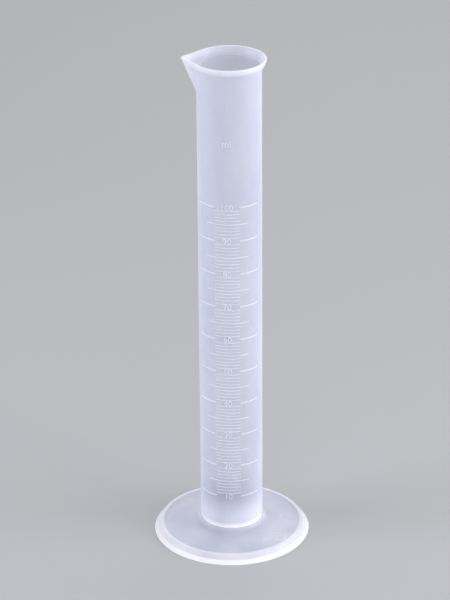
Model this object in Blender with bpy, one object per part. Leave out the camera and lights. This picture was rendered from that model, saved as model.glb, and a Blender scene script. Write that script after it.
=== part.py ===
"""A 100 ml graduated cylinder in translucent plastic.

A tall tube with a closed floor, a flared lip, a pouring spout and a raised scale stands in the
socket of a round foot. The tube's axis is +Z, the foot rests on z = 0, the scale faces -Y and
the spout points to -X. Lengths are in metres.
"""

import math

import bmesh
import bpy
from mathutils import Vector

MM = 0.001

# Tube
TUBE_OUTER_RADIUS = 15.25 * MM
TUBE_WALL = 1.6 * MM
TUBE_FLOOR_THICKNESS = 2.2 * MM
TUBE_SKIRT_DEPTH = 1.9 * MM  # how far the wall runs on below the floor
TUBE_END_CHAMFER = 0.4 * MM
CAVITY_CORNER_RADIUS = 2.0 * MM
TUBE_COLUMNS = 48  # faces round the tube
CORNER_STEPS = 4

# Lip and spout
LIP_HEIGHT = 5.3 * MM
LIP_FLARE = 2.25 * MM  # how far the lip's outside stands proud of the tube
LIP_LAND = 1.3 * MM  # width of the flat top of the lip
LIP_SWELL = 1.3  # a higher power makes a longer cove under the lip
LIP_STEPS = 5
SPOUT_HEIGHT = 16.8 * MM
SPOUT_REACH = 7.15 * MM  # from the tube's outside to the spout's tip
SPOUT_STEPS = 6

# Scale
CAPACITY_ML = 100
FIRST_MARK_ML = 10
HEADROOM = 68.44 * MM  # from the top mark to the mouth
MARK_HEIGHT = 0.45 * MM
MARK_RELIEF = 0.25 * MM
MINOR_HALF_COLUMNS = 3
MIDDLE_HALF_COLUMNS = 5
MAJOR_HALF_COLUMNS = 8  # a major mark leaves the minor marks' width free for its numeral
NUMERAL_SIZE = 3.6 * MM
UNIT_SIZE = 4.4 * MM
UNIT_LIFT = 32 * MM  # from the top mark to the unit's name
LETTER_ROOT = 0.3 * MM  # how deep the lettering is rooted in the wall
LETTER_RESOLUTION = 2

# Foot
FOOT_RADIUS = 38.2 * MM
RIM_HEIGHT = 4.0 * MM
RIM_DRAFT = 2.6 * MM  # how far the rim's outside leans in over its height
RIM_EDGE_RADIUS = 0.6 * MM
RIM_WIDTH = 4.0 * MM  # width of the flat ring that rests on the ground
RIM_INNER_DRAFT = 1.0 * MM  # how far the rim's inside leans in up to the plate
PLATE_THICKNESS = 2.0 * MM
HUB_HEIGHT = 7.6 * MM
HUB_LAND = 0.4 * MM  # width of the hub's flat top round the tube
HUB_FILLET = 2.1 * MM
HUB_WALL = 1.6 * MM
SOCKET_LIFT = 2.2 * MM  # the socket floor's underside above the ground
SOCKET_FLOOR_THICKNESS = 1.5 * MM
SOCKET_GAP = 0.3 * MM
FOOT_COLUMNS = 72
FILLET_STEPS = 5

# Worked out from the above
BORE_RADIUS = TUBE_OUTER_RADIUS - TUBE_WALL
SOCKET_RADIUS = TUBE_OUTER_RADIUS + SOCKET_GAP
SOCKET_FLOOR_Z = SOCKET_LIFT + SOCKET_FLOOR_THICKNESS
TUBE_END_Z = SOCKET_FLOOR_Z + SOCKET_GAP
TUBE_UNDERSIDE_Z = TUBE_END_Z + TUBE_SKIRT_DEPTH
CAVITY_FLOOR_Z = TUBE_UNDERSIDE_Z + TUBE_FLOOR_THICKNESS
CUBIC_METRES_PER_ML = 1e-6


def mark_height(millilitres):
    """Height of the liquid's surface for a volume, with the rounded corner's loss made good."""
    corner_area = (1 - math.pi / 4) * CAVITY_CORNER_RADIUS**2
    corner_volume = corner_area * 2 * math.pi * (BORE_RADIUS - CAVITY_CORNER_RADIUS / 4)
    volume = millilitres * CUBIC_METRES_PER_ML + corner_volume
    return CAVITY_FLOOR_Z + volume / (math.pi * BORE_RADIUS**2)


TOP_MARK_Z = mark_height(CAPACITY_ML)
MOUTH_Z = TOP_MARK_Z + HEADROOM


def clear_scene():
    for old in list(bpy.data.objects):
        bpy.data.objects.remove(old, do_unlink=True)


def plastic(name, colour, roughness):
    """A plain plastic of one colour."""
    material = bpy.data.materials.new(name)
    material.use_nodes = True
    shader = material.node_tree.nodes["Principled BSDF"]
    shader.inputs["Base Color"].default_value = (*colour, 1)
    shader.inputs["Roughness"].default_value = roughness
    shader.inputs["Metallic"].default_value = 0
    return material


def link_mesh(name, mesh, material=None):
    """Makes an object of a bmesh, with its normals facing out."""
    bmesh.ops.recalc_face_normals(mesh, faces=mesh.faces)
    data = bpy.data.meshes.new(name)
    mesh.to_mesh(data)
    mesh.free()
    data.shade_smooth()
    data.set_sharp_from_angle(angle=math.radians(35))
    thing = bpy.data.objects.new(name, data)
    bpy.context.scene.collection.objects.link(thing)
    if material:
        data.materials.append(material)
    return thing


def arc(centre, radii, start, end, steps):
    """Points of an elliptical arc in the (radius, height) plane, angles in degrees."""
    angles = [math.radians(start + (end - start) * i / steps) for i in range(steps + 1)]
    return [
        (centre[0] + radii[0] * math.cos(a), centre[1] + radii[1] * math.sin(a)) for a in angles
    ]


def lip_swell(height):
    """How far the lip has opened at a height, from 0 under it to 1 at the mouth."""
    climbed = (height - (MOUTH_Z - LIP_HEIGHT)) / LIP_HEIGHT
    return math.sin(math.pi / 2 * max(0, climbed)) ** LIP_SWELL


def outer_radius(height):
    return TUBE_OUTER_RADIUS + LIP_FLARE * lip_swell(height)


def inner_radius(height):
    opened = outer_radius(MOUTH_Z) - LIP_LAND - BORE_RADIUS
    return BORE_RADIUS + opened * lip_swell(height)


def spout_angle(height):
    """Half the angle that the spout takes up round the tube at a height."""
    climbed = (height - (MOUTH_Z - SPOUT_HEIGHT)) / SPOUT_HEIGHT
    tip = TUBE_OUTER_RADIUS + SPOUT_REACH * max(0, climbed)
    return math.acos(min(1, outer_radius(height) / tip))


def tube_ring(mesh, radius, height, spout=0):
    """A ring of the tube's vertices: a circle with a wedge drawn out of it at -X."""
    ring = []
    for column in range(TUBE_COLUMNS):
        angle = 2 * math.pi * column / TUBE_COLUMNS
        into_spout = max(0, spout - abs(angle - math.pi))
        reach = radius / math.cos(into_spout)
        ring.append(mesh.verts.new((reach * math.cos(angle), reach * math.sin(angle), height)))
    return ring


def skin(mesh, first, second):
    """Faces between two rings."""
    count = len(first)
    return [
        mesh.faces.new((first[i], first[(i + 1) % count], second[(i + 1) % count], second[i]))
        for i in range(count)
    ]


def spread(low, high, steps):
    return [low + (high - low) * i / steps for i in range(steps + 1)]


def mouth_heights():
    """Heights of the rings that shape the spout and the lip, from below up."""
    lip_start = MOUTH_Z - LIP_HEIGHT
    rising = spread(MOUTH_Z - SPOUT_HEIGHT, lip_start, SPOUT_STEPS)
    return rising + spread(lip_start, MOUTH_Z, LIP_STEPS)[1:]


def marks():
    """(millilitres, first column, last column) of each stretch of mark, from the scale's middle."""
    stretches = []
    for volume in range(FIRST_MARK_ML, CAPACITY_ML + 1):
        if volume % 10 == 0:
            stretches.append((volume, -MAJOR_HALF_COLUMNS, -MINOR_HALF_COLUMNS))
            stretches.append((volume, MINOR_HALF_COLUMNS, MAJOR_HALF_COLUMNS))
        elif volume % 5 == 0:
            stretches.append((volume, -MIDDLE_HALF_COLUMNS, MIDDLE_HALF_COLUMNS))
        else:
            stretches.append((volume, -MINOR_HALF_COLUMNS, MINOR_HALF_COLUMNS))
    return stretches


def raise_marks(mesh, bands):
    """Pushes the faces of each mark out of the tube's wall. bands gives each volume's faces."""
    middle = TUBE_COLUMNS * 3 // 4  # the column that starts at -Y
    for volume, first, last in marks():
        faces = [bands[volume][middle + column] for column in range(first, last)]
        raised = bmesh.ops.extrude_face_region(mesh, geom=faces)["geom"]
        for vertex in raised:
            if isinstance(vertex, bmesh.types.BMVert):
                outward = Vector((vertex.co.x, vertex.co.y, 0)).normalized()
                vertex.co += outward * MARK_RELIEF
        bmesh.ops.delete(mesh, geom=faces, context="FACES_ONLY")


def add_lettering(mesh, text, size, height):
    """Adds text to a mesh of raised letters, wrapped round the tube with its middle at -Y."""
    curve = bpy.data.curves.new("lettering", "FONT")
    curve.body = text
    curve.size = size
    curve.extrude = (MARK_RELIEF + LETTER_ROOT) / 2
    curve.align_x = "CENTER"
    curve.resolution_u = LETTER_RESOLUTION
    carrier = bpy.data.objects.new("lettering", curve)
    flat = bpy.data.meshes.new_from_object(carrier)
    letters = bmesh.new()
    letters.from_mesh(flat)
    bmesh.ops.remove_doubles(letters, verts=letters.verts, dist=0.001 * MM)
    rows = [vertex.co.y for vertex in letters.verts]
    middle = (min(rows) + max(rows)) / 2
    for vertex in letters.verts:
        angle = vertex.co.x / TUBE_OUTER_RADIUS
        radius = TUBE_OUTER_RADIUS + vertex.co.z + (MARK_RELIEF - LETTER_ROOT) / 2
        row = height + vertex.co.y - middle
        vertex.co = (radius * math.sin(angle), -radius * math.cos(angle), row)
    letters.to_mesh(flat)
    letters.free()
    mesh.from_mesh(flat)
    bpy.data.objects.remove(carrier)
    bpy.data.curves.remove(curve)
    bpy.data.meshes.remove(flat)


def make_lettering():
    """The scale's numerals and its unit, as a guide that is joined to the tube."""
    mesh = bmesh.new()
    for volume in range(FIRST_MARK_ML, CAPACITY_ML + 1, 10):
        add_lettering(mesh, str(volume), NUMERAL_SIZE, mark_height(volume))
    add_lettering(mesh, "ml", UNIT_SIZE, TOP_MARK_Z + UNIT_LIFT)
    guide = link_mesh("scale_lettering", mesh)
    guide.hide_render = True
    guide.display_type = "WIRE"
    return guide


def make_tube(material):
    """The tube: underside, outside with its marks, lip, bore and cavity floor in one skin."""
    mesh = bmesh.new()
    recess = tube_ring(mesh, BORE_RADIUS, TUBE_UNDERSIDE_Z)
    mesh.faces.new(recess)
    rings = [
        recess,
        tube_ring(mesh, BORE_RADIUS, TUBE_END_Z),
        tube_ring(mesh, TUBE_OUTER_RADIUS - TUBE_END_CHAMFER, TUBE_END_Z),
        tube_ring(mesh, TUBE_OUTER_RADIUS, TUBE_END_Z + TUBE_END_CHAMFER),
    ]
    for lower, upper in zip(rings, rings[1:]):
        skin(mesh, lower, upper)
    last = rings[-1]
    bands = {}
    for volume in range(FIRST_MARK_ML, CAPACITY_ML + 1):
        lower = tube_ring(mesh, TUBE_OUTER_RADIUS, mark_height(volume) - MARK_HEIGHT / 2)
        upper = tube_ring(mesh, TUBE_OUTER_RADIUS, mark_height(volume) + MARK_HEIGHT / 2)
        skin(mesh, last, lower)
        bands[volume] = skin(mesh, lower, upper)
        last = upper
    for height in mouth_heights():
        ring = tube_ring(mesh, outer_radius(height), height, spout_angle(height))
        skin(mesh, last, ring)
        last = ring
    for height in reversed(mouth_heights()):
        ring = tube_ring(mesh, inner_radius(height), height, spout_angle(height))
        skin(mesh, last, ring)
        last = ring
    corner = (BORE_RADIUS - CAVITY_CORNER_RADIUS, CAVITY_FLOOR_Z + CAVITY_CORNER_RADIUS)
    radii = (CAVITY_CORNER_RADIUS, CAVITY_CORNER_RADIUS)
    for radius, height in arc(corner, radii, 0, -90, CORNER_STEPS):
        ring = tube_ring(mesh, radius, height)
        skin(mesh, last, ring)
        last = ring
    mesh.faces.new(last)
    raise_marks(mesh, bands)
    tube = link_mesh("graduated_tube", mesh, material)
    join = tube.modifiers.new("lettering", "BOOLEAN")
    join.operation = "UNION"
    join.object = make_lettering()
    return tube


def foot_outline():
    """The foot's section as (radius, height), from the socket's middle round to the underside's."""
    hub_edge = SOCKET_RADIUS + HUB_LAND
    hub_base_z = HUB_HEIGHT - HUB_FILLET
    fillet = arc((hub_edge + HUB_FILLET, HUB_HEIGHT), (HUB_FILLET, HUB_FILLET), 180, 270, FILLET_STEPS)
    rim_top_outside = FOOT_RADIUS - RIM_DRAFT
    edge_centre = (rim_top_outside - RIM_EDGE_RADIUS, RIM_HEIGHT - RIM_EDGE_RADIUS)
    edge = arc(edge_centre, (RIM_EDGE_RADIUS, RIM_EDGE_RADIUS), 90, 30, FILLET_STEPS)
    rim_inside = FOOT_RADIUS - RIM_WIDTH
    boss_radius = SOCKET_RADIUS + HUB_WALL
    return [
        (0, SOCKET_FLOOR_Z),
        (SOCKET_RADIUS, SOCKET_FLOOR_Z),
        (SOCKET_RADIUS, HUB_HEIGHT),
        *fillet,
        *edge,
        (FOOT_RADIUS, 0),
        (rim_inside, 0),
        (rim_inside - RIM_INNER_DRAFT, RIM_HEIGHT - PLATE_THICKNESS),
        (boss_radius + PLATE_THICKNESS, hub_base_z - PLATE_THICKNESS),
        (boss_radius, SOCKET_LIFT),
        (0, SOCKET_LIFT),
    ]


def make_foot(material):
    """The foot, turned from its section."""
    mesh = bmesh.new()
    points = [mesh.verts.new((radius, 0, height)) for radius, height in foot_outline()]
    edges = [mesh.edges.new(pair) for pair in zip(points, points[1:])]
    bmesh.ops.spin(
        mesh,
        geom=points + edges,
        axis=(0, 0, 1),
        cent=(0, 0, 0),
        steps=FOOT_COLUMNS,
        angle=2 * math.pi,
        use_merge=True,
    )
    bmesh.ops.remove_doubles(mesh, verts=mesh.verts, dist=0.001 * MM)
    return link_mesh("foot", mesh, material)


clear_scene()
make_tube(plastic("tube_plastic", (0.80, 0.81, 0.90), 0.35))
make_foot(plastic("foot_plastic", (0.72, 0.75, 0.86), 0.30))
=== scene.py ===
"""Looks of the graduated cylinder: fine meshes of its tube and foot, their plastic, and the studio."""

import math

import bmesh
import bpy
from mathutils import Matrix, Vector


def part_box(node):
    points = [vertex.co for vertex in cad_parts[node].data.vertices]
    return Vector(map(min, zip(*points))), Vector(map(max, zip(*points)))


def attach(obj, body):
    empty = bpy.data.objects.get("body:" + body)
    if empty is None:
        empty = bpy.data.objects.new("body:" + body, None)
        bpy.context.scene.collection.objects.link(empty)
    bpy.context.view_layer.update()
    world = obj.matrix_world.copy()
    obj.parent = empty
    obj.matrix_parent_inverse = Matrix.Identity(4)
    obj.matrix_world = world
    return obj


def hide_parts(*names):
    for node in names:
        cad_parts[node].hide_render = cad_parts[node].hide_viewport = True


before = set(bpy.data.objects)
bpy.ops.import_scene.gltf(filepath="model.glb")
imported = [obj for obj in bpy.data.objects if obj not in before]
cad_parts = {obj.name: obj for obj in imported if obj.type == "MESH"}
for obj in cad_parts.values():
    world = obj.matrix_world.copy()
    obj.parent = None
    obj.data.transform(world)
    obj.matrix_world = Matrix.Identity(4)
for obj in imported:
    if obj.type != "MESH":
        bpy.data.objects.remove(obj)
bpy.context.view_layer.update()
MM = 0.001
MILLILITRE = 1e-6

# Sizes read from the frame
TUBE_LOW, TUBE_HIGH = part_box("graduated_tube")
FOOT_LOW, FOOT_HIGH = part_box("foot")
TUBE_END_Z = TUBE_LOW[2]
MOUTH_Z = TUBE_HIGH[2]
LIP_RADIUS = TUBE_HIGH[0]
SPOUT_TIP = -TUBE_LOW[0]
FOOT_RADIUS = FOOT_HIGH[0]
GROUND_Z = FOOT_LOW[2]
HUB_Z = FOOT_HIGH[2]

# Tube
LIP_FLARE = 2.25 * MM
TUBE_RADIUS = LIP_RADIUS - LIP_FLARE
TUBE_WALL = 1.6 * MM
BORE_RADIUS = TUBE_RADIUS - TUBE_WALL
SKIRT_DEPTH = 1.9 * MM
FLOOR_THICKNESS = 2.2 * MM
UNDERSIDE_Z = TUBE_END_Z + SKIRT_DEPTH
CAVITY_FLOOR_Z = UNDERSIDE_Z + FLOOR_THICKNESS
CORNER_RADIUS = 2.0 * MM
END_ROUNDING = 0.4 * MM
FLOOR_GATE_RADIUS = 1.6 * MM  # of the pip that the mould's gate left in the middle of the cavity's floor
FLOOR_GATE_HEIGHT = 0.35 * MM
PIP_FOOT = 1.4  # the pip's foot, as a share of its radius halfway up
PIP_APRON = 2.2  # a ring on the flat floor round it
PIP_STEPS = 6
CORNER_STEPS = 10
END_STEPS = 4
BASE_RINGS = 8
TUBE_COLUMNS = 240
SCALE_COLUMN = TUBE_COLUMNS * 3 // 4  # the column at -Y

# Lip and spout
LIP_HEIGHT = 5.3 * MM
LIP_LAND = 1.3 * MM
LIP_ROUNDING = 0.35 * MM
LIP_SWELL = 1.3  # above 1, the flare gathers near the mouth
SPOUT_HEIGHT = 16.8 * MM
TIP_SOFTNESS = math.radians(2.0)  # rounds the spout's keel
ROUNDING_STEPS = 5
LIP_RINGS = 16
SPOUT_RINGS = 16

# Scale
FIRST_MARK_ML = 10
CAPACITY_ML = 100
MARK_HEIGHTS = {10: 0.86 * MM, 5: 0.64 * MM, 1: 0.5 * MM}  # by the step that the mark shows
MARK_RELIEF = 0.25 * MM
MARK_SHOULDER = 0.85  # height of a mark at its shoulder as a share of its height at the wall
MARK_CROWN = 0.65  # and at its crown
SHOULDER_RELIEF = 0.6  # how far out the shoulder stands, as a share of the relief
MINOR_COLUMNS = 15  # from the scale's middle to a mark's end, at each millilitre
MIDDLE_COLUMNS = 26  # at each 5 ml
MAJOR_COLUMNS = 40  # at each 10 ml
NUMERAL_SIZE = 4.1 * MM
UNIT_SIZE = 4.4 * MM
UNIT_LIFT = 32 * MM  # the unit's height over the last mark
LETTER_ROOT = 0.3 * MM  # how far a letter runs into the wall
LETTER_CURVE_STEPS = 4
WELD = 0.001 * MM

# Foot
RIM_HEIGHT = 4.0 * MM
RIM_DRAFT = 2.6 * MM
RIM_ROUNDING = 0.7 * MM
RIM_WIDTH = 4.0 * MM
RIM_INNER_DRAFT = 1.0 * MM
PLATE_THICKNESS = 2.0 * MM
HUB_LAND = 0.25 * MM
HUB_FILLET = 2.2 * MM
HUB_WALL = 1.6 * MM
SOCKET_LIFT = 2.2 * MM
SOCKET_FLOOR_THICKNESS = 1.6 * MM
JOINT_GAP = 0.05 * MM
FILLET_END = 268  # degrees, where the hub's fillet runs into the plate
FILLET_STEPS = 14
ROUNDING_END = 32  # degrees, where the rim's rounding runs into its outer wall
ROUNDING_RINGS = 6
WALL_END_IN = 0.15 * MM  # where the rim's wall runs out into its edge, in from the foot's radius
WALL_END_UP = 0.3 * MM
GROUND_ROUNDING = 0.1 * MM
FOOT_COLUMNS = 240
PLATE_RINGS = 20
WALL_RINGS = 6
RIM_GATE_ANGLE = math.radians(8)  # the stub that the mould's gate left on the rim, from +X towards +Y
RIM_GATE_Z = 1.3 * MM
RIM_GATE_WIDTH = 3.4 * MM
RIM_GATE_REACH = 0.45 * MM

# Plastic. Colours are linear, and depths are millimetres of plastic behind the surface; the bore's skin
# depth and the base's depth also paint shade and light
TUBE_THIN = (0.755, 0.77, 0.94)
TUBE_THICK = (0.97, 0.945, 0.955)
FOOT_THIN = (0.22, 0.31, 0.60)
FOOT_THICK = (0.89, 0.87, 0.93)
# Painted shade: the bore's skin is blended towards this dark blue so that the tube's inside looks shadowed
BORE_PAINTED_SHADE_COLOUR = (0.30, 0.33, 0.50)
BORE_PAINTED_SHADE = 0.55
# The bore's skin gets less depth than the 1.6 mm of wall behind it, so it comes out less white and more
# see-through: painted shade for the tube's inside
BORE_SKIN_DEPTH = 0.8
BORE_BLEND = 0.1 * MM  # half the stretch of wall in which the bore's skin gives way to the outer one
# Real thick plastic in the tube's base, and above the cavity's corner, where the wall is no thicker,
# painted light: it whitens the lower tube for light gathered from the foot and the base
BASE_DEPTH_AND_PAINTED_LIGHT = 2.6
CAVITY_FLOOR_DEPTH = 6.0
CAVITY_FLOOR_REACH = 1.2 * CORNER_RADIUS  # from the cavity's floor up to where its depth fades out
LIP_DEPTH = 4.5
LIP_REACH = 0.7 * LIP_HEIGHT
SPOUT_DEPTH = 6.0
FOOT_SKIN_DEPTH = 1.4
RIM_DEPTH = 1.6
RIM_WALL_DEPTH = 4.0
RIM_WALL_FADE = (0.4 * MM, -0.6 * MM)  # from the plate's underside, where that depth starts and is full
DENSITY = 0.24  # how fast a skin turns solid with depth
DENSITY_SPREAD = 0.15
WHITENING = 0.12  # how fast it turns white with depth
WHITE_OFFSET = -0.22  # takes the clouds' and the flow lines' mean off again
STEEPEST_SLANT = 0.15  # limits the way through a skin that is seen edge on
REFRACTION = 1.49
EDGE_SHEEN = 0.25
SHEEN_ROUGHNESS = 0.25
LEAST_ROUGHNESS = 0.24
MOST_ROUGHNESS = 0.34
RIPPLE_HEIGHT = 0.03 * MM
LIP_SCUFFS = 1.0 * MM  # how far the scuffs reach from an edge
JOINT_SCUFFS = 1.2 * MM
RIM_SCUFFS = 1.2 * MM
NOISE_RANGE = (0.3, 0.7)  # what most of a noise texture's values lie in
SCUFF_CUT = (0.4, 0.62)
PATCH_CUT = (0.48, 0.68)
SCRATCH_CUT = (0.66, 0.72)
CLOUDS = {"stretch": (1, 1, 0.4), "scale": 60, "detail": 4}
FLOW_LINES = {"stretch": (1, 1, 0.02), "scale": 700, "detail": 3}
GRAIN = {"stretch": (1, 1, 1), "scale": 1800, "detail": 2}
RIPPLE = {"stretch": (1, 1, 0.5), "scale": 140, "detail": 2}
SCRATCH_PATCHES = {"stretch": (1, 1, 1), "scale": 55, "detail": 2}
SCRATCHES = (  # the turn in degrees and the stretch of each direction's strokes
    ((0, 0, 20), (40, 2600, 60)),
    ((0, 0, -65), (40, 2300, 90)),
    ((30, 10, 0), (70, 60, 2400)),
)
WHITE_SHARES = {"clouds": 0.30, "flow": 0.14, "marks": 0.6, "scuffs": 0.3, "scratches": 0.25}
DENSITY_SHARES = {"marks": DENSITY, "scuffs": DENSITY}
ROUGHNESS_SHARES = {"marks": 0.10, "scuffs": 0.22, "scratches": 0.12, "clouds": 0.06}
HEIGHT_SHARES = {"flow": 0.25, "grain": 0.08, "scratches": -0.3, "scuffs": -0.2}

# Studio
FLOOR_COLOUR = (0.50, 0.50, 0.51)
FLOOR_ROUGHNESS = 0.9
FLOOR_HALF_SIDE = 4
WORLD_COLOUR = (0.94, 0.96, 1.0)
WORLD_STRENGTH = 0.45
WHITE = (1, 1, 1)
BLUE = (0.93, 0.96, 1.0)
WARM = (1.0, 0.97, 0.95)
MIDDLE = (0, 0, 0.12)
LOW_MIDDLE = (0, 0, 0.1)
LIGHTS = (  # name, azimuth in degrees, distance, height, aim, size, watts, colour
    ("top_softbox", 180, 0.1, 1.1, MIDDLE, (1.2, 1.2), 2.5, WHITE),
    ("left_softbox", -72, 0.9, 0.42, MIDDLE, (0.5, 0.8), 4.3, BLUE),
    ("right_softbox", 80, 0.9, 0.35, MIDDLE, (0.5, 0.8), 4.8, BLUE),
    ("right_strip", 55, 0.9, 0.25, MIDDLE, (0.12, 0.6), 1.6, WARM),
    ("back_softbox", 175, 1.0, 0.6, MIDDLE, (1.2, 0.6), 2.5, WHITE),
    ("front_softbox", 8, 1.3, 0.12, LOW_MIDDLE, (0.9, 0.25), 4.5, WHITE),
)
CAMERA_AZIMUTH = math.radians(5.5)
CAMERA_ELEVATION = math.radians(25.457)
CAMERA_DISTANCE = 1.3116  # from the point at AIM_Z on the axis
CAMERA_LENS = 164.5
CAMERA_ROLL = math.radians(-0.415)
AIM_Z = 0.125
AIM_RIGHT = -2.6 * MM  # how far beside that point the camera looks
AIM_UP = -0.45 * MM
CLIP_END = 20


def mark_z(millilitres):
    """Height of the liquid for a volume, with the rounded corner's loss made good."""
    corner_area = (1 - math.pi / 4) * CORNER_RADIUS**2
    corner_volume = corner_area * 2 * math.pi * (BORE_RADIUS - CORNER_RADIUS / 4)
    volume = millilitres * MILLILITRE + corner_volume
    return CAVITY_FLOOR_Z + volume / (math.pi * BORE_RADIUS**2)


def arc(centre, radius, start, end, steps):
    """Points of an arc in the (radius, height) plane, angles in degrees."""
    angles = [math.radians(start + (end - start) * i / steps) for i in range(steps + 1)]
    return [(centre[0] + radius * math.cos(a), centre[1] + radius * math.sin(a)) for a in angles]


def lip_swell(z):
    climbed = (z - (MOUTH_Z - LIP_HEIGHT)) / LIP_HEIGHT
    return math.sin(math.pi / 2 * min(1, max(0, climbed))) ** LIP_SWELL


def outer_radius(z):
    return TUBE_RADIUS + LIP_FLARE * lip_swell(z)


def inner_radius(z):
    return BORE_RADIUS + (LIP_RADIUS - LIP_LAND - BORE_RADIUS) * lip_swell(z)


def spout_angle(z):
    """Half the angle that the spout takes up round the tube, with the tip's softness made good."""
    climbed = (z - (MOUTH_Z - SPOUT_HEIGHT)) / SPOUT_HEIGHT
    tip = TUBE_RADIUS + (SPOUT_TIP - TUBE_RADIUS) * max(0, climbed)
    touch = math.acos(min(1, outer_radius(z) / tip))
    return touch + TIP_SOFTNESS if touch else 0


def tube_ring(mesh, radius, z, spout=0):
    """A ring of vertices: a circle with a wedge drawn out of it at -X."""
    ring = []
    for column in range(TUBE_COLUMNS):
        angle = math.tau * column / TUBE_COLUMNS
        into = max(0, spout - math.hypot(angle - math.pi, TIP_SOFTNESS))
        reach = radius / math.cos(into)
        ring.append(mesh.verts.new((reach * math.cos(angle), reach * math.sin(angle), z)))
    return ring


def skin(mesh, first, second):
    count = len(first)
    return [
        mesh.faces.new((first[i], first[(i + 1) % count], second[(i + 1) % count], second[i]))
        for i in range(count)
    ]


def spread(low, high, steps):
    return [low + (high - low) * i / steps for i in range(steps + 1)]


def mark_step(volume):
    """The largest of the scale's steps that a volume is a multiple of."""
    return next(step for step in MARK_HEIGHTS if volume % step == 0)


def mark_stretches(volume):
    """First and last column of each stretch of a volume's mark, from the scale's middle."""
    return {
        10: [(-MAJOR_COLUMNS, -MINOR_COLUMNS), (MINOR_COLUMNS, MAJOR_COLUMNS)],
        5: [(-MIDDLE_COLUMNS, MIDDLE_COLUMNS)],
        1: [(-MINOR_COLUMNS, MINOR_COLUMNS)],
    }[mark_step(volume)]


def raise_region(mesh, faces, outward, middle_z, squeeze):
    """Extrudes faces out of the wall and squeezes them towards a height. Returns the new faces."""
    made = bmesh.ops.extrude_face_region(mesh, geom=faces)["geom"]
    for vertex in (item for item in made if isinstance(item, bmesh.types.BMVert)):
        away = Vector((vertex.co.x, vertex.co.y, 0)).normalized()
        vertex.co += away * outward
        vertex.co.z = middle_z + (vertex.co.z - middle_z) * squeeze
    bmesh.ops.delete(mesh, geom=faces, context="FACES_ONLY")
    return [item for item in made if isinstance(item, bmesh.types.BMFace)]


def raise_marks(mesh, bands):
    for volume, band in bands.items():
        for first, last in mark_stretches(volume):
            faces = [band[SCALE_COLUMN + column] for column in range(first, last)]
            z = mark_z(volume)
            out = MARK_RELIEF * SHOULDER_RELIEF
            shoulder = raise_region(mesh, faces, out, z, MARK_SHOULDER)
            raise_region(mesh, shoulder, MARK_RELIEF - out, z, MARK_CROWN / MARK_SHOULDER)


def lip_top(mesh):
    """Rings over the lip's rounded top, from outside to inside."""
    spout = spout_angle(MOUTH_Z)
    outside = arc((LIP_RADIUS - LIP_ROUNDING, MOUTH_Z - LIP_ROUNDING), LIP_ROUNDING, 0, 90, ROUNDING_STEPS)
    inner = LIP_RADIUS - LIP_LAND
    inside = arc((inner + LIP_ROUNDING, MOUTH_Z - LIP_ROUNDING), LIP_ROUNDING, 90, 180, ROUNDING_STEPS)
    return [tube_ring(mesh, radius, z, spout) for radius, z in outside + inside]


def end_outline():
    """The tube's section from its underside's middle round the skirt to the outer wall."""
    underside = [(BORE_RADIUS * share, UNDERSIDE_Z) for share in (0.25, 0.5, 0.75)]
    skirt = [(BORE_RADIUS, UNDERSIDE_Z), (BORE_RADIUS, TUBE_END_Z)]
    corner = (TUBE_RADIUS - END_ROUNDING, TUBE_END_Z + END_ROUNDING)
    return underside + skirt + arc(corner, END_ROUNDING, -90, 0, END_STEPS)


def cavity_floor_outline():
    """The cavity's section from the bore's wall to the gate's pip in the floor's middle."""
    corner = (BORE_RADIUS - CORNER_RADIUS, CAVITY_FLOOR_Z + CORNER_RADIUS)
    outline = arc(corner, CORNER_RADIUS, 0, -90, CORNER_STEPS)
    outline.append((FLOOR_GATE_RADIUS * PIP_APRON, CAVITY_FLOOR_Z))
    for share in spread(0, 1, PIP_STEPS):
        rise = FLOOR_GATE_HEIGHT * (1 - math.cos(math.pi * share)) / 2
        outline.append((FLOOR_GATE_RADIUS * (PIP_FOOT - share), CAVITY_FLOOR_Z + rise))
    return outline


def mouth_rings(mesh):
    """Rings up the outside from below the spout, over the lip and down its inside."""
    lip_start = MOUTH_Z - LIP_HEIGHT
    heights = spread(MOUTH_Z - SPOUT_HEIGHT, lip_start, SPOUT_RINGS)[:-1]
    heights += spread(lip_start, MOUTH_Z - LIP_ROUNDING, LIP_RINGS)[:-1]
    rings = [tube_ring(mesh, outer_radius(z), z, spout_angle(z)) for z in heights]
    rings += lip_top(mesh)
    rings += [tube_ring(mesh, inner_radius(z), z, spout_angle(z)) for z in reversed(heights)]
    return rings


def skin_rings(mesh, last, rings):
    """Skins the rings one after another, from the last one made. Returns the new last one."""
    for ring in rings:
        skin(mesh, last, ring)
        last = ring
    return last


def tube_mesh():
    mesh = bmesh.new()
    rings = [tube_ring(mesh, radius, z) for radius, z in end_outline()]
    mesh.faces.new(rings[0])
    last = skin_rings(mesh, rings[0], rings[1:])
    heights = spread(UNDERSIDE_Z, CAVITY_FLOOR_Z + 2 * CORNER_RADIUS, BASE_RINGS)
    last = skin_rings(mesh, last, [tube_ring(mesh, TUBE_RADIUS, z) for z in heights])
    bands = {}
    for volume in range(FIRST_MARK_ML, CAPACITY_ML + 1):
        half_height = MARK_HEIGHTS[mark_step(volume)] / 2
        lower = tube_ring(mesh, TUBE_RADIUS, mark_z(volume) - half_height)
        upper = tube_ring(mesh, TUBE_RADIUS, mark_z(volume) + half_height)
        skin(mesh, last, lower)
        bands[volume] = skin(mesh, lower, upper)
        last = upper
    last = skin_rings(mesh, last, mouth_rings(mesh))
    floor = [tube_ring(mesh, radius, z) for radius, z in cavity_floor_outline()]
    last = skin_rings(mesh, last, floor)
    mesh.faces.new(last)
    raise_marks(mesh, bands)
    return mesh


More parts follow.
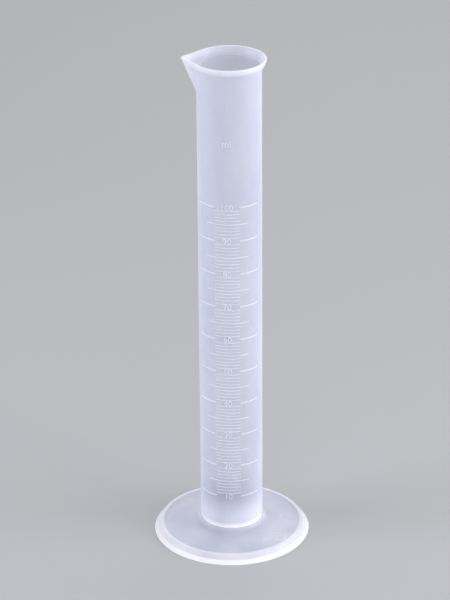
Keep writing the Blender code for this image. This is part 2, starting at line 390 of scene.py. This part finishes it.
def flat_text(text, size):
    """A mesh of solid letters lying in the XY plane, centred on the origin in Z."""
    curve = bpy.data.curves.new("lettering", "FONT")
    curve.body = text
    curve.size = size
    curve.extrude = (MARK_RELIEF + LETTER_ROOT) / 2
    curve.align_x = "CENTER"
    curve.resolution_u = LETTER_CURVE_STEPS
    carrier = bpy.data.objects.new("lettering", curve)
    flat = bpy.data.meshes.new_from_object(carrier)
    bpy.data.objects.remove(carrier)
    bpy.data.curves.remove(curve)
    return flat


def add_lettering(mesh, text, size, z):
    """Raised text wrapped round the tube with its middle at -Y."""
    flat = flat_text(text, size)
    letters = bmesh.new()
    letters.from_mesh(flat)
    bmesh.ops.remove_doubles(letters, verts=letters.verts, dist=WELD)
    rows = [vertex.co.y for vertex in letters.verts]
    middle = (min(rows) + max(rows)) / 2
    for vertex in letters.verts:
        angle = vertex.co.x / TUBE_RADIUS
        radius = TUBE_RADIUS + vertex.co.z + (MARK_RELIEF - LETTER_ROOT) / 2
        row = z + vertex.co.y - middle
        vertex.co = (radius * math.sin(angle), -radius * math.cos(angle), row)
    letters.to_mesh(flat)
    letters.free()
    mesh.from_mesh(flat)
    bpy.data.meshes.remove(flat)


def lettering_mesh():
    mesh = bmesh.new()
    for volume in range(FIRST_MARK_ML, CAPACITY_ML + 1, 10):
        add_lettering(mesh, str(volume), NUMERAL_SIZE, mark_z(volume))
    add_lettering(mesh, "ml", UNIT_SIZE, mark_z(CAPACITY_ML) + UNIT_LIFT)
    return mesh


def make_object(name, mesh):
    bmesh.ops.recalc_face_normals(mesh, faces=mesh.faces)
    data = bpy.data.meshes.new(name)
    mesh.to_mesh(data)
    mesh.free()
    piece = bpy.data.objects.new(name, data)
    bpy.context.scene.collection.objects.link(piece)
    return piece


def smooth(piece, degrees=35):
    piece.data.shade_smooth()
    piece.data.set_sharp_from_angle(angle=math.radians(degrees))


def unite(piece, other):
    """Joins other into piece by a Boolean and removes it."""
    join = piece.modifiers.new("join", "BOOLEAN")
    join.operation = "UNION"
    join.object = other
    depsgraph = bpy.context.evaluated_depsgraph_get()
    joined = bpy.data.meshes.new_from_object(piece.evaluated_get(depsgraph))
    piece.modifiers.clear()
    piece.data = joined
    bpy.data.objects.remove(other)
    clean(joined)


def clean(data):
    """Takes out the slivers that a Boolean leaves where its cuts end beside a vertex."""
    mesh = bmesh.new()
    mesh.from_mesh(data)
    bmesh.ops.remove_doubles(mesh, verts=mesh.verts, dist=WELD)
    many_sided = [face for face in mesh.faces if len(face.verts) > 4]
    bmesh.ops.triangulate(mesh, faces=many_sided)
    bmesh.ops.dissolve_degenerate(mesh, edges=mesh.edges, dist=WELD)
    mesh.to_mesh(data)
    mesh.free()


def foot_outline():
    """The foot's section as (radius, z), from the socket's middle round to the underside's."""
    socket = TUBE_RADIUS + JOINT_GAP
    hub_edge = socket + HUB_LAND
    hub_base_z = HUB_Z - HUB_FILLET
    fillet = arc((hub_edge + HUB_FILLET, HUB_Z), HUB_FILLET, 180, FILLET_END, FILLET_STEPS)
    rim_top = FOOT_RADIUS - RIM_DRAFT
    corner = (rim_top - RIM_ROUNDING, RIM_HEIGHT - RIM_ROUNDING)
    edge = arc(corner, RIM_ROUNDING, 90, ROUNDING_END, ROUNDING_RINGS)
    wall_end = (FOOT_RADIUS - WALL_END_IN, GROUND_Z + WALL_END_UP)
    wall = [Vector(edge[-1]).lerp(wall_end, share) for share in spread(0, 1, WALL_RINGS)[1:]]
    rim_inside = FOOT_RADIUS - RIM_WIDTH
    boss = TUBE_RADIUS + HUB_WALL
    socket_floor = SOCKET_LIFT + SOCKET_FLOOR_THICKNESS
    plate_start = hub_edge + HUB_FILLET
    plate_run = rim_top - RIM_ROUNDING - plate_start
    plate = []
    for share in spread(0, 1, PLATE_RINGS)[1:-1]:
        z = hub_base_z + (RIM_HEIGHT - hub_base_z) * share
        plate.append((plate_start + plate_run * share, z))
    return [
        (0, socket_floor),
        (socket, socket_floor),
        (socket, HUB_Z),
        *fillet,
        *plate,
        *edge,
        *wall,
        (FOOT_RADIUS, GROUND_Z + GROUND_ROUNDING),
        (FOOT_RADIUS - GROUND_ROUNDING, GROUND_Z),
        (rim_inside, GROUND_Z),
        (rim_inside - RIM_INNER_DRAFT, RIM_HEIGHT - PLATE_THICKNESS),
        (boss + PLATE_THICKNESS, hub_base_z - PLATE_THICKNESS),
        (boss, SOCKET_LIFT),
        (0, SOCKET_LIFT),
    ]


def foot_mesh():
    mesh = bmesh.new()
    points = [mesh.verts.new((radius, 0, z)) for radius, z in foot_outline()]
    edges = [mesh.edges.new(pair) for pair in zip(points, points[1:])]
    bmesh.ops.spin(
        mesh,
        geom=points + edges,
        axis=(0, 0, 1),
        cent=(0, 0, 0),
        steps=FOOT_COLUMNS,
        angle=math.tau,
        use_merge=True,
    )
    bmesh.ops.remove_doubles(mesh, verts=mesh.verts, dist=WELD)
    leave_gate(mesh)
    return mesh


def leave_gate(mesh):
    """Raises the stub that the mould's gate left on the rim's outer wall."""
    for vertex in mesh.verts:
        along = (math.atan2(vertex.co.y, vertex.co.x) - RIM_GATE_ANGLE) * FOOT_RADIUS
        away = math.hypot(along, vertex.co.z - RIM_GATE_Z) / (RIM_GATE_WIDTH / 2)
        if away < 1 and vertex.co.xy.length > FOOT_RADIUS - RIM_DRAFT:
            stub = RIM_GATE_REACH * (1 - away**2)
            vertex.co += Vector((vertex.co.x, vertex.co.y, 0)).normalized() * stub


# Materials

def link(tree, value, socket):
    """Joins another node's output to a socket, or sets the socket to a value."""
    if isinstance(value, bpy.types.NodeSocket):
        tree.links.new(value, socket)
    else:
        socket.default_value = value


def add_node(tree, kind, settings, **values):
    """A new node with its settings and inputs; an input's name has _ for each space."""
    node = tree.nodes.new("ShaderNode" + kind)
    for name, value in settings.items():
        setattr(node, name, value)
    for name, value in values.items():
        link(tree, value, node.inputs[name.replace("_", " ")])
    return node


def maths(tree, operation, *values):
    node = tree.nodes.new("ShaderNodeMath")
    node.operation = operation
    for value, socket in zip(values, node.inputs):
        link(tree, value, socket)
    return node.outputs[0]


def ramp(tree, value, low, high, first=0.0, last=1.0):
    """Runs smoothly from first to last as value goes from low to high."""
    inputs = {"From_Min": low, "From_Max": high, "To_Min": first, "To_Max": last}
    node = add_node(tree, "MapRange", {"interpolation_type": "SMOOTHSTEP"}, Value=value, **inputs)
    return node.outputs["Result"]


def noise(tree, place, stretch, scale, detail=2, turn=(0, 0, 0)):
    mapping = add_node(tree, "Mapping", {}, Vector=place, Scale=stretch, Rotation=turn)
    texture = add_node(tree, "TexNoise", {}, Vector=mapping.outputs[0], Scale=scale, Detail=detail)
    return texture.outputs["Fac"]


def blend_colours(tree, share, first, second):
    node = add_node(tree, "Mix", {"data_type": "RGBA"})
    sockets = [socket for socket in node.inputs if socket.enabled]
    for value, socket in zip((share, first, second), sockets):
        link(tree, value, socket)
    return next(socket for socket in node.outputs if socket.enabled)


def read_place(tree):
    """The place on the piece as a vector, and by name: x, z and the radius from the axis."""
    vector = add_node(tree, "TexCoord", {}).outputs["Object"]
    parts = add_node(tree, "SeparateXYZ", {}, Vector=vector).outputs
    squares = [maths(tree, "MULTIPLY", parts[axis], parts[axis]) for axis in "XY"]
    radius = maths(tree, "SQRT", maths(tree, "ADD", *squares))
    return vector, {"x": parts["X"], "z": parts["Z"], "radius": radius}


def plastic_depth(tree, place, least, swells):
    """Millimetres of plastic behind the surface: the least there is, and more in the swells.

    Each swell is what it follows, where it starts, where it is full, and how much it adds.
    """
    depth = least
    for followed, start, full, added in swells:
        depth = maths(tree, "ADD", depth, ramp(tree, place[followed], start, full, 0, added))
    return depth


def near_edges(tree, place, edges):
    """1 on the turned edges, given as (radius, height, reach), and 0 further off than their reach."""
    nearness = 0.0
    for edge_radius, edge_z, reach in edges:
        across = maths(tree, "SUBTRACT", place["radius"], edge_radius)
        along = maths(tree, "SUBTRACT", place["z"], edge_z)
        squares = [maths(tree, "MULTIPLY", side, side) for side in (across, along)]
        away = maths(tree, "SQRT", maths(tree, "ADD", *squares))
        nearness = maths(tree, "MAXIMUM", nearness, ramp(tree, away, 0, reach, 1, 0))
    return nearness


def raised(tree, place):
    """1 on the crowns of the scale and 0 on the wall round them."""
    low, high = TUBE_RADIUS + MARK_RELIEF * 0.2, TUBE_RADIUS + MARK_RELIEF * 0.9
    out = ramp(tree, place["radius"], low, high)
    below_spout = maths(tree, "LESS_THAN", place["z"], MOUTH_Z - SPOUT_HEIGHT)
    return maths(tree, "MULTIPLY", out, below_spout)


def scratches(tree, vector):
    """Short fine scratches in three directions, in patches."""
    patches = ramp(tree, noise(tree, vector, **SCRATCH_PATCHES), *PATCH_CUT)
    strokes = 0.0
    for turn, stretch in SCRATCHES:
        turned = [math.radians(angle) for angle in turn]
        stroke = ramp(tree, noise(tree, vector, stretch, 1, turn=turned), *SCRATCH_CUT)
        strokes = maths(tree, "MAXIMUM", strokes, stroke)
    return maths(tree, "MULTIPLY", patches, strokes)


def read_details(tree, vector, place, edges):
    """What varies over the plastic, by name."""
    grain = noise(tree, vector, **GRAIN)
    return {
        "clouds": noise(tree, vector, **CLOUDS),
        "flow": noise(tree, vector, **FLOW_LINES),
        "grain": grain,
        "ripple": noise(tree, vector, **RIPPLE),
        "marks": raised(tree, place),
        "scuffs": maths(tree, "MULTIPLY", near_edges(tree, place, edges), ramp(tree, grain, *SCUFF_CUT)),
        "scratches": scratches(tree, vector),
    }


def add_shares(tree, value, shares, details):
    for name, share in shares.items():
        value = maths(tree, "MULTIPLY_ADD", details[name], share, value)
    return value


def plastic_colour(tree, thin, thick, depth, details):
    """From the thin colour to the thick one, as the plastic turns white with depth."""
    clear = maths(tree, "EXPONENT", maths(tree, "MULTIPLY", depth, -WHITENING))
    white = add_shares(tree, maths(tree, "SUBTRACT", 1, clear), WHITE_SHARES, details)
    white = maths(tree, "ADD", white, WHITE_OFFSET)
    return blend_colours(tree, white, (*thin, 1), (*thick, 1))


def plastic_cover(tree, depth, details):
    """How much of what lies behind a skin it hides, which grows with the way through it."""
    facing = add_node(tree, "LayerWeight", {}, Blend=0.5).outputs["Facing"]
    slant = maths(tree, "MAXIMUM", maths(tree, "SUBTRACT", 1, facing), STEEPEST_SLANT)
    least, most = DENSITY * (1 - DENSITY_SPREAD), DENSITY * (1 + DENSITY_SPREAD)
    density = ramp(tree, details["clouds"], *NOISE_RANGE, least, most)
    density = add_shares(tree, density, DENSITY_SHARES, details)
    way = maths(tree, "DIVIDE", maths(tree, "MULTIPLY", depth, density), slant)
    seen_through = maths(tree, "EXPONENT", maths(tree, "MULTIPLY", way, -1))
    return maths(tree, "SUBTRACT", 1, seen_through)


def plastic_roughness(tree, details):
    roughness = ramp(tree, details["grain"], *NOISE_RANGE, LEAST_ROUGHNESS, MOST_ROUGHNESS)
    return add_shares(tree, roughness, ROUGHNESS_SHARES, details)


def plastic_relief(tree, details):
    height = add_shares(tree, details["ripple"], HEIGHT_SHARES, details)
    return add_node(tree, "Bump", {}, Height=height, Strength=1.0, Distance=RIPPLE_HEIGHT).outputs[0]


def milky_plastic(name, thin, thick, least_depth, swells, edges, bore=None):
    """Translucent plastic, whiter and more solid the more of it lies behind the surface.

    A bore is given as the two radii between which its skin, darkened by painted shade, gives way to the
    outer one.
    """
    material = bpy.data.materials.new(name)
    material.use_nodes = True
    tree = material.node_tree
    shader = tree.nodes["Principled BSDF"]
    vector, place = read_place(tree)
    depth = plastic_depth(tree, place, least_depth, swells)
    details = read_details(tree, vector, place, edges)
    colour = plastic_colour(tree, thin, thick, depth, details)
    if bore:
        # Paints shade on the bore's skin, standing in for the tube's inside being less lit
        painted_shade = ramp(tree, place["radius"], *bore, BORE_PAINTED_SHADE, 0)
        colour = blend_colours(tree, painted_shade, colour, (*BORE_PAINTED_SHADE_COLOUR, 1))
    link(tree, colour, shader.inputs["Base Color"])
    link(tree, plastic_cover(tree, depth, details), shader.inputs["Alpha"])
    link(tree, plastic_roughness(tree, details), shader.inputs["Roughness"])
    link(tree, plastic_relief(tree, details), shader.inputs["Normal"])
    shader.inputs["IOR"].default_value = REFRACTION
    shader.inputs["Sheen Weight"].default_value = EDGE_SHEEN
    shader.inputs["Sheen Roughness"].default_value = SHEEN_ROUGHNESS
    return material


# Pieces

def make_tube():
    tube = make_object("graduated_tube_shell", tube_mesh())
    unite(tube, make_object("scale_lettering", lettering_mesh()))
    smooth(tube)
    wall_middle = BORE_RADIUS + TUBE_WALL / 2
    bore = (wall_middle - BORE_BLEND, wall_middle + BORE_BLEND)
    swells = [
        ("radius", *bore, TUBE_WALL / MM - BORE_SKIN_DEPTH),
        # thick plastic at the base, painted light above it up to the first mark
        ("z", mark_z(FIRST_MARK_ML), CAVITY_FLOOR_Z + CORNER_RADIUS, BASE_DEPTH_AND_PAINTED_LIGHT),
        ("z", CAVITY_FLOOR_Z + CAVITY_FLOOR_REACH, CAVITY_FLOOR_Z, CAVITY_FLOOR_DEPTH),
        ("z", MOUTH_Z - LIP_REACH, MOUTH_Z, LIP_DEPTH),
        ("x", -TUBE_RADIUS, -SPOUT_TIP, SPOUT_DEPTH),
    ]
    edges = [(LIP_RADIUS - LIP_ROUNDING, MOUTH_Z, LIP_SCUFFS), (TUBE_RADIUS, HUB_Z, JOINT_SCUFFS)]
    plastic = milky_plastic(
        "milky_plastic_tube", TUBE_THIN, TUBE_THICK, BORE_SKIN_DEPTH, swells, edges, bore
    )
    tube.data.materials.clear()
    tube.data.materials.append(plastic)
    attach(tube, "root")
    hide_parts("graduated_tube")


def make_foot():
    foot = make_object("foot_shell", foot_mesh())
    smooth(foot)
    rim_inside = FOOT_RADIUS - RIM_WIDTH
    wall = [RIM_HEIGHT - PLATE_THICKNESS + offset for offset in RIM_WALL_FADE]
    swells = [
        ("radius", rim_inside - RIM_INNER_DRAFT, rim_inside, RIM_DEPTH),
        ("z", *wall, RIM_WALL_DEPTH),
    ]
    edges = [(FOOT_RADIUS, GROUND_Z, RIM_SCUFFS)]
    plastic = milky_plastic(
        "milky_plastic_foot", FOOT_THIN, FOOT_THICK, FOOT_SKIN_DEPTH, swells, edges
    )
    foot.data.materials.append(plastic)
    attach(foot, "root")
    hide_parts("foot")


# Studio

def make_floor():
    mesh = bmesh.new()
    bmesh.ops.create_grid(mesh, x_segments=1, y_segments=1, size=FLOOR_HALF_SIDE)
    floor = make_object("floor", mesh)
    floor.location.z = GROUND_Z
    material = bpy.data.materials.new("floor_paper")
    material.use_nodes = True
    shader = material.node_tree.nodes["Principled BSDF"]
    shader.inputs["Base Color"].default_value = (*FLOOR_COLOUR, 1)
    shader.inputs["Roughness"].default_value = FLOOR_ROUGHNESS
    floor.data.materials.append(material)


def make_light(name, location, target, size, power, colour):
    data = bpy.data.lights.new(name, "AREA")
    data.shape = "RECTANGLE"
    data.size, data.size_y = size
    data.energy = power
    data.color = colour
    light = bpy.data.objects.new(name, data)
    light.location = location
    light.rotation_euler = (Vector(target) - Vector(location)).to_track_quat("-Z", "Y").to_euler()
    bpy.context.scene.collection.objects.link(light)


def light_place(azimuth, distance, z):
    """A point at an azimuth in degrees, from the camera's side of the object towards +X."""
    angle = math.radians(azimuth)
    return (distance * math.sin(angle), -distance * math.cos(angle), z)


def make_lights():
    for name, azimuth, distance, height, aim, size, power, colour in LIGHTS:
        make_light(name, light_place(azimuth, distance, height), aim, size, power, colour)
    world = bpy.data.worlds.new("studio")
    world.use_nodes = True
    background = world.node_tree.nodes["Background"]
    background.inputs["Color"].default_value = (*WORLD_COLOUR, 1)
    background.inputs["Strength"].default_value = WORLD_STRENGTH
    bpy.context.scene.world = world


def make_camera():
    data = bpy.data.cameras.new("camera")
    data.lens = CAMERA_LENS
    camera = bpy.data.objects.new("camera", data)
    back = Vector((
        math.sin(CAMERA_AZIMUTH) * math.cos(CAMERA_ELEVATION),
        -math.cos(CAMERA_AZIMUTH) * math.cos(CAMERA_ELEVATION),
        math.sin(CAMERA_ELEVATION),
    ))
    right = Vector((math.cos(CAMERA_AZIMUTH), math.sin(CAMERA_AZIMUTH), 0))
    up = back.cross(right)
    aim = Vector((0, 0, AIM_Z)) + right * AIM_RIGHT + up * AIM_UP
    camera.location = Vector((0, 0, AIM_Z)) + back * CAMERA_DISTANCE
    look = (aim - camera.location).to_track_quat("-Z", "Y").to_matrix().to_4x4()
    camera.rotation_euler = (look @ Matrix.Rotation(CAMERA_ROLL, 4, "Z")).to_euler()
    data.clip_end = CLIP_END
    bpy.context.scene.collection.objects.link(camera)
    bpy.context.scene.camera = camera


make_tube()
make_foot()
make_floor()
make_lights()
make_camera()
bpy.context.scene.view_settings.view_transform = "Standard"
